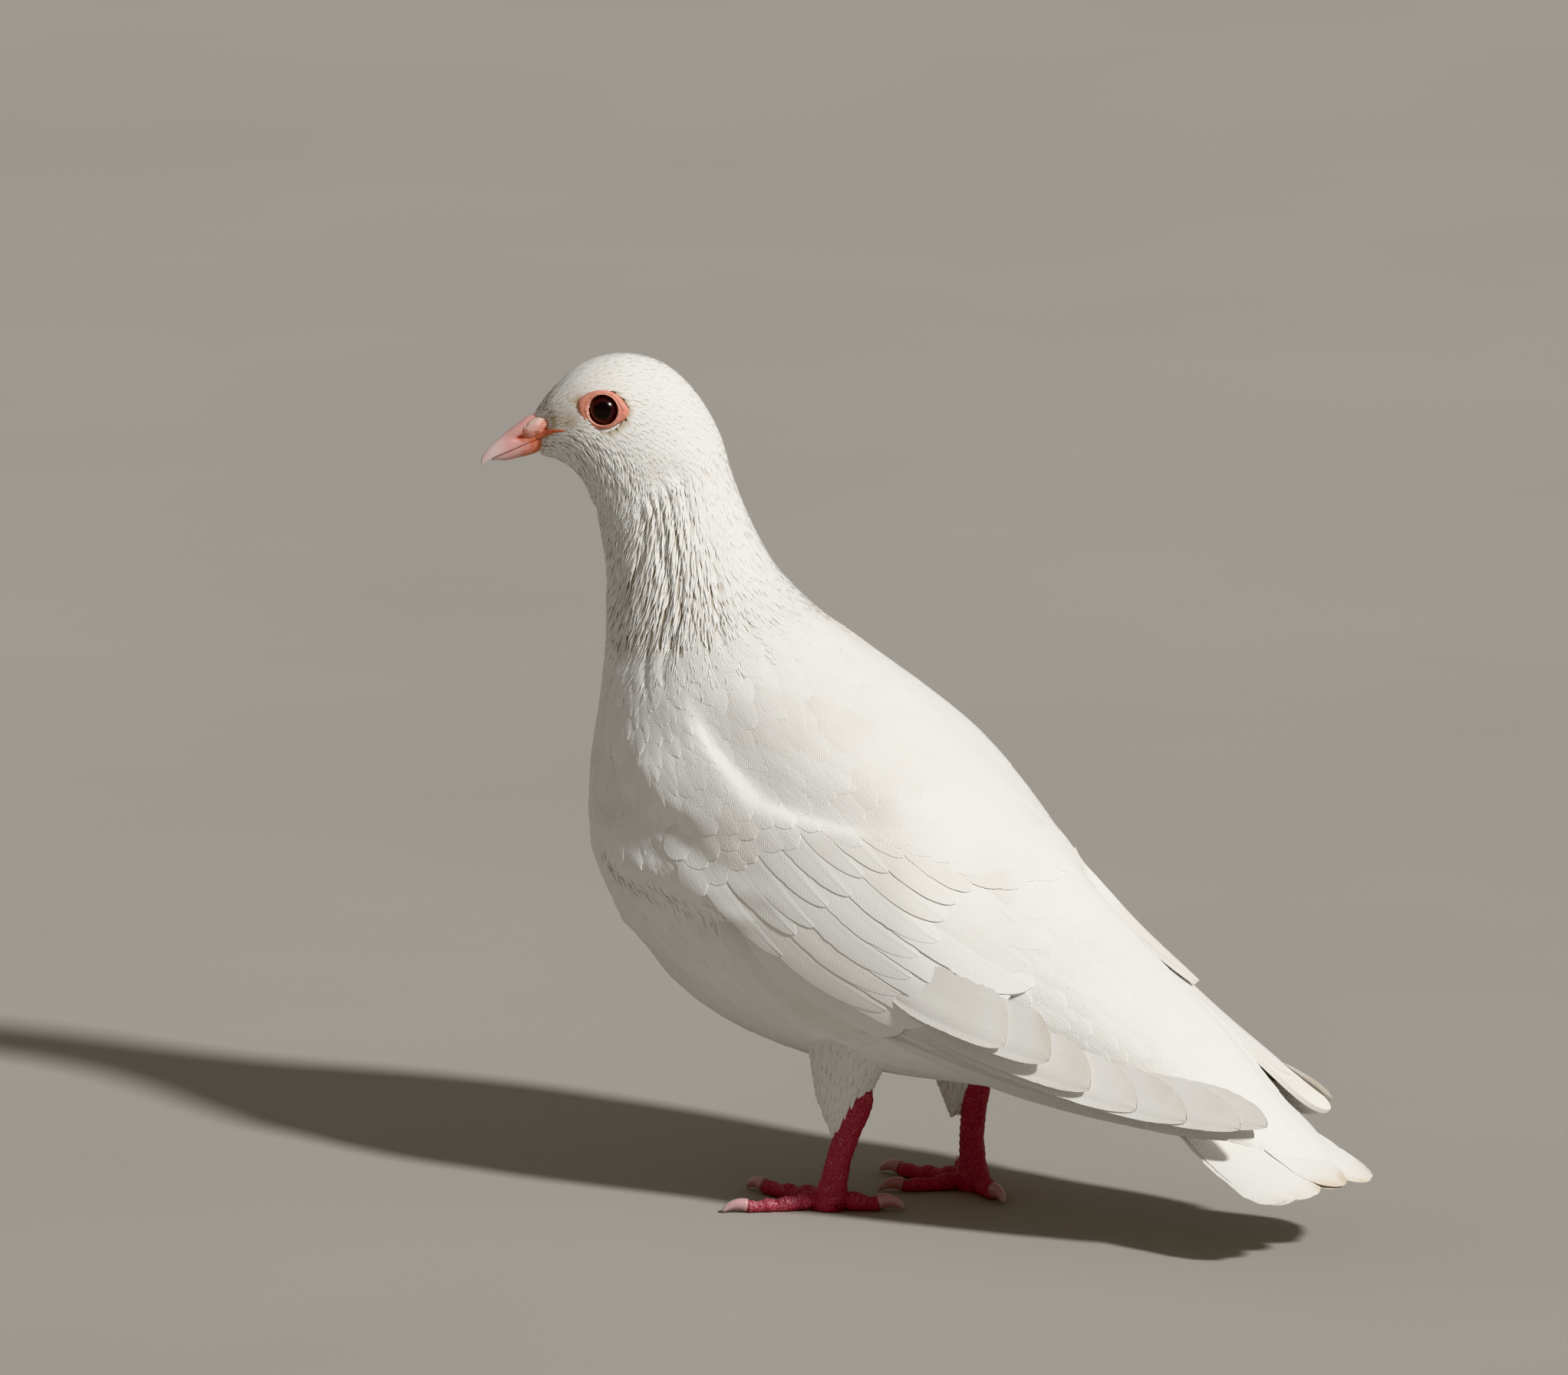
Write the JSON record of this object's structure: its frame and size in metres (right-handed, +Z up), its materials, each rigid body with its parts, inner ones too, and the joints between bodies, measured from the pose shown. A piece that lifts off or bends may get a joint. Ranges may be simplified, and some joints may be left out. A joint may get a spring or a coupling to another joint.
{
  "type": "standing pigeon model",
  "caption": "Life-size still model of a white domestic pigeon, standing with folded wings and its head turned a little to the left.",
  "frame": {"origin": "on the floor, under the middle of the whole bird's bounding box", "axes": "-X is the way the body faces, -Y is the bird's left side, +Z is up; the soles stand on z = 0"},
  "size_m": [0.2748, 0.1002, 0.2413],
  "materials": {
    "plumage": "soft matt white feathers with faint warm shade between them",
    "bill": "smooth pale pink horn, satin",
    "cere": "powdery pinkish white skin",
    "eye": "wet gloss, very dark maroon",
    "eyelid": "bare salmon orange skin, fine grained",
    "leg": "crimson scaly skin, matt",
    "claw": "pale pinkish horn, satin"
  },
  "bodies": {
    "root": {"head": "plumage", "neck": "plumage", "torso": "plumage", "tail": "plumage", "wing_left": "plumage", "thigh_left": "plumage", "wing_right": "plumage", "thigh_right": "plumage", "bill_upper": "bill", "bill_lower": "bill", "cere": "cere", "eye_left": "eye", "eyelid_left": "eyelid", "shank_left": "leg", "toe1_left": "leg", "claw1_left": "claw", "toe2_left": "leg", "claw2_left": "claw", "toe3_left": "leg", "claw3_left": "claw", "toe4_left": "leg", "claw4_left": "claw", "eye_right": "eye", "eyelid_right": "eyelid", "shank_right": "leg", "toe1_right": "leg", "claw1_right": "claw", "toe2_right": "leg", "claw2_right": "claw", "toe3_right": "leg", "claw3_right": "claw", "toe4_right": "leg", "claw4_right": "claw"}
  },
  "joints": []
}
